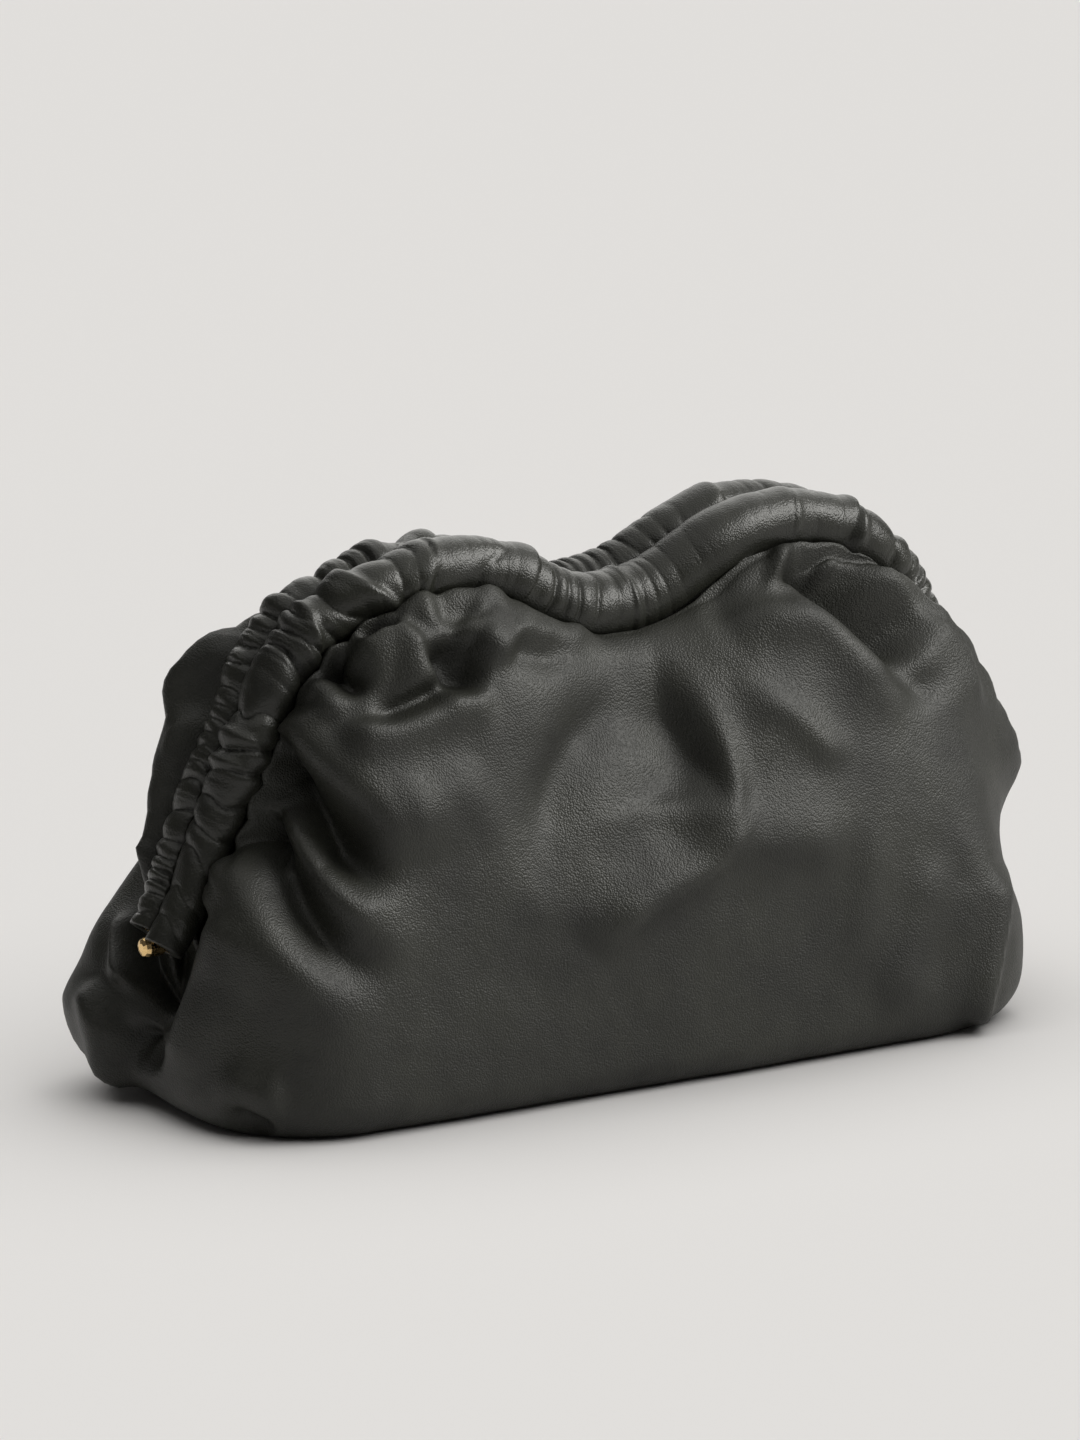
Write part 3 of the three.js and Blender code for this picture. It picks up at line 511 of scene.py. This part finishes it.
def grid_normals(points):
    """Outward normals of a grid of points, with levels in rows and girths in columns."""
    around = np.roll(points, -1, 1) - np.roll(points, 1, 1)
    down = np.gradient(points, axis=0)
    return unit(np.cross(down, around))


def swelling_height(girth, level):
    height = np.zeros(girth.shape)
    for row in SWELLINGS:
        wide = wrap_girth(girth - row.girth) / row.wide
        tall = (level - row.level) / row.tall
        height += row.height * np.exp(-(wide**2) - tall**2)
    return height


# Folds of the body


def smooth_line(points):
    """A smooth line through the points of a fold."""
    points = np.array(points, float)
    padded = np.vstack([2 * points[0] - points[1], points, 2 * points[-1] - points[-2]])
    t = np.arange(LINE_STEPS)[:, None] / LINE_STEPS
    pieces = []
    for before, start, end, after in zip(padded, padded[1:], padded[2:], padded[3:]):
        bend = (2 * before - 5 * start + 4 * end - after) * t**2
        twist = (3 * start - before - 3 * end + after) * t**3
        pieces.append((2 * start + (end - before) * t + bend + twist) / 2)
    return np.vstack([*pieces, points[-1]])


def nearest_on_line(line, places):
    """Distance to a line, on its left or not, and share of its length, for each place."""
    distance = np.full(len(places), np.inf)
    on_left = np.zeros(len(places), bool)
    share = np.zeros(len(places))
    for index, (start, end) in enumerate(zip(line, line[1:])):
        step = end - start
        offset = places - start
        along = np.clip(offset @ step / (step @ step), 0, 1)
        miss = offset - along[:, None] * step
        length = np.linalg.norm(miss, axis=1)
        nearer = length < distance
        distance[nearer] = length[nearer]
        on_left[nearer] = (step[0] * miss[:, 1] - step[1] * miss[:, 0])[nearer] > 0
        share[nearer] = ((index + along) / (len(line) - 1))[nearer]
    return distance, on_left, share


def fold_profile(offset, height):
    """A ridge is round, and a valley is a crease with a slightly rounded bottom."""
    if height > 0:
        return height * np.exp(-(offset**2))
    depth = np.hypot(offset, CREASE_ROUNDING) - CREASE_ROUNDING
    return height * np.exp(-VALLEY_STEEPNESS * depth)


def fold_height(view, points, folds):
    """Height of the folds whose lines are drawn as this view sees them."""
    across, up, _ = view
    places = np.stack([points @ across, points @ up], -1).reshape(-1, 2)
    height = np.zeros(len(places))
    for fold in folds:
        line = smooth_line(fold.line)
        reach = FOLD_REACH * max(fold.left, fold.right) * fold.flare
        near = np.all((places > line.min(0) - reach) & (places < line.max(0) + reach), axis=1)
        distance, on_left, share = nearest_on_line(line, places[near])
        width = np.where(on_left, fold.left, fold.right) * (1 + (fold.flare - 1) * share)
        fade = ease(share / fold.fade_in) * ease((1 - share) / fold.fade_out)
        height[near] += fade * fold_profile(distance / width, fold.height)
    return height.reshape(points.shape[:-1])


def facing(view, normals):
    _, _, away = view
    return ease((-(normals @ away) - FACING_FROM) / FACING_RANGE)


def edge_share(level):
    return ease(level / MOUTH_FADE) * ease((1 - level) / BASE_FADE)


def fold_share(girth, level):
    reach, _, _ = quarter_of(girth)
    calm = ease((reach - CALM_REACH) / (QUARTER_GIRTH - CALM_REACH))
    return FOLD_STRENGTH * edge_share(level) * (1 - (1 - CALM_SHARE) * calm)


def all_folds(girth, level, points, normals):
    """The folds of the front, and those of them that are repeated on the back."""
    front = facing(FRONT_VIEW, normals)
    back = facing(BACK_VIEW, normals) * (1 - ease(front / FRONT_CLAIM)) * BACK_FOLD_SHARE
    repeated = [fold for fold in FOLDS if fold.back]
    height = front * fold_height(FRONT_VIEW, points, FOLDS)
    height += back * fold_height(BACK_VIEW, points, repeated)
    return height * fold_share(girth, level)


def pleat_height(girths, levels):
    """Pleats round the mouth, with round tops and sharp creases, that run out down the wall."""
    order = np.argsort(girths)
    steps = np.diff(girths[order], prepend=girths[order][0])
    phase = np.zeros(len(girths))
    phase[order] = np.cumsum(steps / table_value(PLEATS, "girth", "spacing", girths[order]))
    spots = [(girth / WANDER_GIRTH, level * WANDER_ROWS, 0) for level in levels for girth in girths]
    wander = PLEAT_WANDER * smooth_noise(spots, WANDER_SEED).reshape(len(levels), len(girths))
    puffs = np.abs(np.sin(math.pi * (phase + wander))) ** PLEAT_SHARPNESS - PLEAT_MIDDLE
    height = table_value(PLEATS, "girth", "height", girths)
    reach = table_value(PLEATS, "girth", "reach", girths)
    fade = 1 - ease(levels[:, None] / (2 * reach))
    return height * puffs * fade


def push_off_sleeves(points):
    """Move the points that lie in a plain sleeve out to the gap from it."""
    along = np.linspace(*FRONT_SLEEVE_ENDS, RAIL_SAMPLES)
    x, z, _, _ = rail_at(along)
    radius = sleeve_radius(along)
    for face in (-1, 1):
        centres = np.stack([x, face * SLEEVE_SPREAD * radius, z], -1)
        for centre, clear in zip(centres, radius + FOLD_GAP):
            offset = points - centre
            distance = np.linalg.norm(offset, axis=-1, keepdims=True)
            outside = centre + offset / np.maximum(distance, TINY) * clear
            points = np.where(distance < clear, outside, points)
    return points


def keep_clear(points, piece, gap):
    """Move the points that lie in a piece, or too near it, out to the gap from its surface."""
    corners = [corner.co / MM for corner in piece.data.vertices]
    tree = BVHTree.FromPolygons(corners, [face.vertices for face in piece.data.polygons])
    moved = points.reshape(-1, 3).copy()
    for index, point in enumerate(moved):
        place, normal, _, distance = tree.find_nearest(Vector(point), CLEAR_REACH)
        if place is None:
            continue
        inside = (Vector(point) - place).dot(normal) < 0
        if inside or distance < gap:
            moved[index] = place + normal * gap
    return moved.reshape(points.shape)


def relaxed(points):
    """The leather evens out between its neighbours. The mouth and the base stay where they are."""
    inner = points[1:-1]
    mean = (points[:-2] + points[2:] + np.roll(inner, 1, 1) + np.roll(inner, -1, 1)) / 4
    moved = points.copy()
    moved[1:-1] += RELAX_SHARE * (mean - inner)
    return moved


def wrinkle_height(points):
    flat = points.reshape(-1, 3)
    height = sum(depth * smooth_noise(flat / size, size) for size, depth in WRINKLES)
    return height.reshape(points.shape[:-1])


def body_girths():
    """Girths round the body, closest together on the front."""
    turn = np.arange(GIRTH_STEPS) / GIRTH_STEPS * 2 * math.pi - math.pi
    crowded = turn - GIRTH_CROWDING * np.sin(turn + CROWDING_TURN)
    return wrap_girth(crowded / math.pi * 2 * QUARTER_GIRTH)


def body_points(sleeves):
    """The plain wall, swollen, folded, pleated and wrinkled, and kept clear of the sleeves."""
    girths = body_girths()
    levels = np.linspace(0, 1, WALL_STEPS + 1)
    girth, level = np.meshgrid(girths, levels)
    points = plain_wall(girth, level)
    normals = grid_normals(points)
    swelling = edge_share(level) * swelling_height(girth, level)
    points = points + normals * swelling[..., None]
    height = all_folds(girth, level, points, normals) + pleat_height(girths, levels)
    points = relaxed(points + normals * height[..., None])
    uneven = edge_share(level) * wrinkle_height(points)
    points = points + grid_normals(points) * uneven[..., None]
    points = push_off_sleeves(points)
    for sleeve in sleeves:
        points = keep_clear(points, sleeve, RUCHE_GAP)
    points[..., 2] = np.maximum(points[..., 2], 0)
    return points


# Meshes


def band_faces(first, second, count):
    """Faces between two rings of the same number of points."""
    following = [(i + 1) % count for i in range(count)]
    return [(first + i, second + i, second + j, first + j) for i, j in enumerate(following)]


def add_mesh(name, points, faces):
    mesh = bpy.data.meshes.new(name)
    mesh.from_pydata((np.asarray(points) * MM).tolist(), [], faces)
    mesh.polygons.foreach_set("use_smooth", [True] * len(mesh.polygons))
    mesh.update()
    piece = bpy.data.objects.new(name, mesh)
    bpy.context.scene.collection.objects.link(piece)
    return piece


def add_body(sleeves):
    points = body_points(sleeves)
    faces = []
    for row in range(WALL_STEPS):
        faces += band_faces(row * GIRTH_STEPS, (row + 1) * GIRTH_STEPS, GIRTH_STEPS)
    base = WALL_STEPS * GIRTH_STEPS
    faces.append([base + i for i in reversed(range(GIRTH_STEPS))])
    body = add_mesh("leather_body", points.reshape(-1, 3), faces)
    wall = body.modifiers.new("wall", "SOLIDIFY")
    wall.thickness = LEATHER * MM
    wall.offset = -1
    return body


# Ruched sleeves


def crease_phase(along, ruches):
    """Number of creases from the left end to each place along the rail."""
    spacing = table_value(ruches, "along", "spacing", along) / HALF_LENGTH
    return np.concatenate([[0], np.cumsum(np.diff(along) / spacing[1:])])


def noise_round(places, turn, angles, seed):
    """Smooth noise for a grid of places along a sleeve, with a column for each angle round it."""
    sides = [(turn * math.cos(angle), turn * math.sin(angle)) for angle in angles]
    spots = [(place, *side) for row in places for place, side in zip(row, sides)]
    return smooth_noise(spots, seed).reshape(places.shape)


def ruche_phase(along, angles, ruches, finer, seed):
    """Number of creases from the left end to each place: they lean, wander and bunch."""
    lengths = along * HALF_LENGTH
    spacing = table_value(ruches, "along", "spacing", along)[:, None]
    lean = table_value(ruches, "along", "lean", along)[:, None] / spacing * np.cos(angles)
    places = np.repeat(lengths[:, None] / WANDER_LENGTH, len(angles), axis=1)
    wander = RUCHE_WANDER * noise_round(places, WANDER_TURN, angles, seed)
    bunch_spots = [(length / BUNCH_LENGTH, MID_NOISE, MID_NOISE) for length in lengths]
    bunches = RUCHE_BUNCHING * smooth_noise(bunch_spots, seed)[:, None]
    return (crease_phase(along, ruches)[:, None] + lean + bunches) / finer + wander


def ruche_height(along, angles, ruches, finer, share):
    """Puffs between sharp creases that differ in depth and fade out round the sleeve."""
    seed = len(ruches) + FINENESS_SEED * finer
    phase = ruche_phase(along, angles, ruches, finer, seed)
    sharp = np.abs(np.sin(math.pi * phase)) ** RUCHE_SHARPNESS
    nearest = np.round(phase) * CREASE_STEP
    variety = CREASE_VARIETY * noise_round(nearest, CREASE_TURN, angles, seed + STRENGTH_SEED)
    strength = ease(CREASE_STRENGTH + variety)
    fullness = PUFF_FULLNESS + PUFF_VARIETY * np.sin(np.floor(phase) * PUFF_STEP)
    puffs = fullness * (1 - strength * (1 - sharp)) - PUFF_MIDDLE
    return RUCHE_DEPTH * share * table_value(ruches, "along", "depth", along)[:, None] * puffs


def loop_height(along, angles, loops):
    """Folds that stand out from a sleeve, each steeper on its right side."""
    height = np.zeros((len(along), len(angles)))
    for loop in loops:
        offset = (along - loop.along)[:, None] * HALF_LENGTH + loop.lean * np.cos(angles)
        width = np.where(offset > 0, loop.width * loop.steep, loop.width)
        height += loop.height * np.exp(-((offset / width) ** 2))
    return height


def ring_points(along, spread, radius, angles, face):
    """Rings round the rail, one row for each place along it."""
    x, z, in_x, in_z = [value[:, None] for value in rail_at(along)]
    inward = radius * np.cos(angles)
    outward = spread[:, None] + radius * np.sin(angles)
    return np.stack([x + inward * in_x, face * outward, z + inward * in_z], -1)


def bar_spread(along):
    to_end = ease((np.abs(along) - BAR_BEND_FROM) / (BAR_END - BAR_BEND_FROM))
    return BAR_SPREAD * sleeve_radius(along) * (1 - to_end) + BAR_END_SPREAD * to_end


def sleeve_outside(along, angles, face, ruches, loops):
    """Rings of the gathered outside, pressed flat where the two sleeves meet."""
    gathers = ruche_height(along, angles, ruches, 1, 1)
    gathers += ruche_height(along, angles, ruches, FINE_RUCHE, FINE_DEPTH)
    gathers += loop_height(along, angles, loops)
    gathers *= ease((GATHER_TURN - np.cos(angles)) / GATHER_RANGE)
    radius = sleeve_radius(along)
    rings = ring_points(along, SLEEVE_SPREAD * radius, radius[:, None] + gathers, angles, face)
    sway = PARTING_SWAY * np.sin(2 * math.pi * along * HALF_LENGTH / PARTING_WAVE)
    sway = face * (sway * ease((1 - np.abs(along)) / (1 - SWAY_FADE)))[:, None]
    rings[..., 1] = face * np.maximum(face * rings[..., 1] + sway, SLEEVE_PARTING + sway)
    if face > 0:
        rings[..., 2] -= table_value(BACK_SINK, "along", "drop", along)[:, None]
    return rings


def sleeve_bore(along, angles, face):
    flare = BORE_FLARE * ease((np.abs(along) - FLARE_FROM) / (1 - FLARE_FROM))
    return ring_points(along, bar_spread(along), (BORE_RADIUS + flare)[:, None], angles, face)


def add_sleeve(name, face, ends, ruches, loops):
    """A closed leather tube: the gathered outside, both ends and the bore for the bar."""
    along = np.linspace(*ends, SLEEVE_ROWS)
    angles = np.arange(SLEEVE_SIDES) / SLEEVE_SIDES * 2 * math.pi
    outside = sleeve_outside(along, angles, face, ruches, loops)
    rings = np.concatenate([outside, sleeve_bore(along, angles, face)[::-1]])
    count = len(rings)
    faces = []
    for row in range(count):
        faces += band_faces(row * SLEEVE_SIDES, (row + 1) % count * SLEEVE_SIDES, SLEEVE_SIDES)
    if face > 0:
        faces = [ring[::-1] for ring in faces]
    return add_mesh(name, rings.reshape(-1, 3), faces)


# Materials


def new_material(name):
    material = bpy.data.materials.new(name)
    material.use_nodes = True
    return material, material.node_tree.nodes, material.node_tree.links


def add_noise(nodes, links, place, size, detail):
    texture = nodes.new("ShaderNodeTexNoise")
    texture.inputs["Scale"].default_value = 1 / (size * MM)
    texture.inputs["Detail"].default_value = detail
    links.new(place.outputs["Object"], texture.inputs["Vector"])
    return texture


def add_range(nodes, links, source, low, high):
    spread = nodes.new("ShaderNodeMapRange")
    spread.inputs["From Min"].default_value = NOISE_LOW
    spread.inputs["From Max"].default_value = NOISE_HIGH
    spread.inputs["To Min"].default_value = low
    spread.inputs["To Max"].default_value = high
    links.new(source, spread.inputs["Value"])
    return spread.outputs["Result"]


def add_bump(nodes, links, source, strength, depth):
    bump = nodes.new("ShaderNodeBump")
    bump.inputs["Strength"].default_value = strength
    bump.inputs["Distance"].default_value = depth * MM
    links.new(source, bump.inputs["Height"])
    return bump


def add_grain(nodes, links, place, pebbling):
    """Bump of a fine pebbled grain with pores."""
    cells = nodes.new("ShaderNodeTexVoronoi")
    cells.feature = "SMOOTH_F1"
    cells.inputs["Scale"].default_value = 1 / (GRAIN_SIZE * MM)
    cells.inputs["Smoothness"].default_value = GRAIN_SMOOTHNESS
    links.new(place.outputs["Object"], cells.inputs["Vector"])
    pebbles = add_bump(nodes, links, cells.outputs["Distance"], pebbling, GRAIN_DEPTH)
    pebbles.invert = True
    holes = add_noise(nodes, links, place, PORE_SIZE, PORE_DETAIL)
    pores = add_bump(nodes, links, holes.outputs["Fac"], PORE_STRENGTH, PORE_DEPTH)
    links.new(pores.outputs["Normal"], pebbles.inputs["Normal"])
    return pebbles.outputs["Normal"]


def leather_material(leather):
    """Black nappa, whose tone and gloss vary from place to place."""
    material, nodes, links = new_material(leather.name)
    shader = nodes["Principled BSDF"]
    place = nodes.new("ShaderNodeTexCoord")
    wear = add_noise(nodes, links, place, WEAR_SIZE, WEAR_DETAIL).outputs["Fac"]
    tone = nodes.new("ShaderNodeMix")
    tone.data_type = "RGBA"
    tone.inputs["A"].default_value = LEATHER_DARK
    tone.inputs["B"].default_value = LEATHER_LIGHT
    links.new(add_range(nodes, links, wear, 0, 1), tone.inputs["Factor"])
    links.new(tone.outputs["Result"], shader.inputs["Base Color"])
    gloss = add_range(nodes, links, wear, leather.rough, leather.smooth)
    links.new(gloss, shader.inputs["Roughness"])
    shader.inputs["Specular IOR Level"].default_value = LEATHER_SPECULAR
    grain = add_grain(nodes, links, place, leather.pebbling)
    links.new(grain, shader.inputs["Normal"])
    return material


def gold_material():
    """Polished gold-tone metal with faint rubbing marks."""
    material, nodes, links = new_material("gold_metal")
    shader = nodes["Principled BSDF"]
    shader.inputs["Base Color"].default_value = GOLD
    shader.inputs["Metallic"].default_value = 1
    place = nodes.new("ShaderNodeTexCoord")
    marks = add_noise(nodes, links, place, RUB_SIZE, RUB_DETAIL)
    gloss = add_range(nodes, links, marks.outputs["Fac"], GOLD_SMOOTH, GOLD_ROUGH)
    links.new(gloss, shader.inputs["Roughness"])
    return material


# Studio


def add_floor():
    half = FLOOR_SIZE / 2
    corners = [(-half, -half, 0), (half, -half, 0), (half, half, 0), (-half, half, 0)]
    floor = add_mesh("floor", corners, [(0, 1, 2, 3)])
    material, nodes, _ = new_material("pale_floor")
    shader = nodes["Principled BSDF"]
    shader.inputs["Base Color"].default_value = FLOOR_COLOUR
    shader.inputs["Roughness"].default_value = FLOOR_ROUGHNESS
    shader.inputs["Specular IOR Level"].default_value = FLOOR_SPECULAR
    floor.data.materials.append(material)
    return floor


def add_sun(light):
    data = bpy.data.lights.new(light.name, "SUN")
    data.energy = light.strength
    data.color = WARM_LIGHT
    data.angle = math.radians(light.softness)
    sun = bpy.data.objects.new(light.name, data)
    sun.rotation_euler = Vector(light.towards).to_track_quat("Z", "Y").to_euler()
    bpy.context.scene.collection.objects.link(sun)
    return sun


def add_flagged_sun(light, receivers):
    """A light that is flagged, as in a studio, so that it falls on these objects alone."""
    lit = bpy.data.collections.new("lit_by_" + light.name)
    for receiver in receivers:
        lit.objects.link(receiver)
    add_sun(light).light_linking.receiver_collection = lit


def add_backdrop():
    scene = bpy.context.scene
    scene.view_settings.view_transform = "Standard"
    world = bpy.data.worlds.new("studio")
    world.use_nodes = True
    background = world.node_tree.nodes["Background"]
    background.inputs["Color"].default_value = BACKDROP_COLOUR
    background.inputs["Strength"].default_value = BACKDROP_STRENGTH
    scene.world = world


def add_studio(pieces):
    """Soft light from above, and a key light kept off the floor, where it casts no long shadow."""
    add_backdrop()
    add_sun(OVERHEAD_LIGHT)
    add_flagged_sun(KEY_LIGHT, pieces)
    add_flagged_sun(RIM_LIGHT, pieces)
    add_flagged_sun(FLOOR_LIGHT, [add_floor()])


def dress(piece, node, material):
    piece.data.materials.append(material)
    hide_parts(node)
    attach(piece, "root")


def build_bag(frame):
    """The body and the sleeves replace their nodes, and the metal pieces are the CAD's own."""
    leather = leather_material(BODY_LEATHER)
    ruched_leather = leather_material(SLEEVE_LEATHER)
    gold = gold_material()
    sleeves = {
        "front_sleeve": add_sleeve(
            "ruched_front_sleeve", -1, FRONT_SLEEVE_ENDS, FRONT_RUCHES, FRONT_LOOPS),
        "back_sleeve": add_sleeve(
            "ruched_back_sleeve", 1, BACK_SLEEVE_ENDS, BACK_RUCHES, BACK_LOOPS),
    }
    for node, sleeve in sleeves.items():
        dress(sleeve, node, ruched_leather)
    body = add_body(sleeves.values())
    dress(body, "body", leather)
    metal = [frame["nodes"][node] for node in METAL_NODES]
    for piece in metal:
        piece.data.materials.clear()
        piece.data.materials.append(gold)
    return [body, *sleeves.values(), *metal]


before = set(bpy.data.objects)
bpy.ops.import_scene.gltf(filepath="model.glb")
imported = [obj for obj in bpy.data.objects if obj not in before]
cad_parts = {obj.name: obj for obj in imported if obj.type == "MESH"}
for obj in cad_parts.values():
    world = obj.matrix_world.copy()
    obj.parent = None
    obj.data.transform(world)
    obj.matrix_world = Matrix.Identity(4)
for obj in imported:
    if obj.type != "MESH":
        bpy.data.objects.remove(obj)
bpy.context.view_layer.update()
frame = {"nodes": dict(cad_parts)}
add_camera()
add_studio(build_bag(frame))
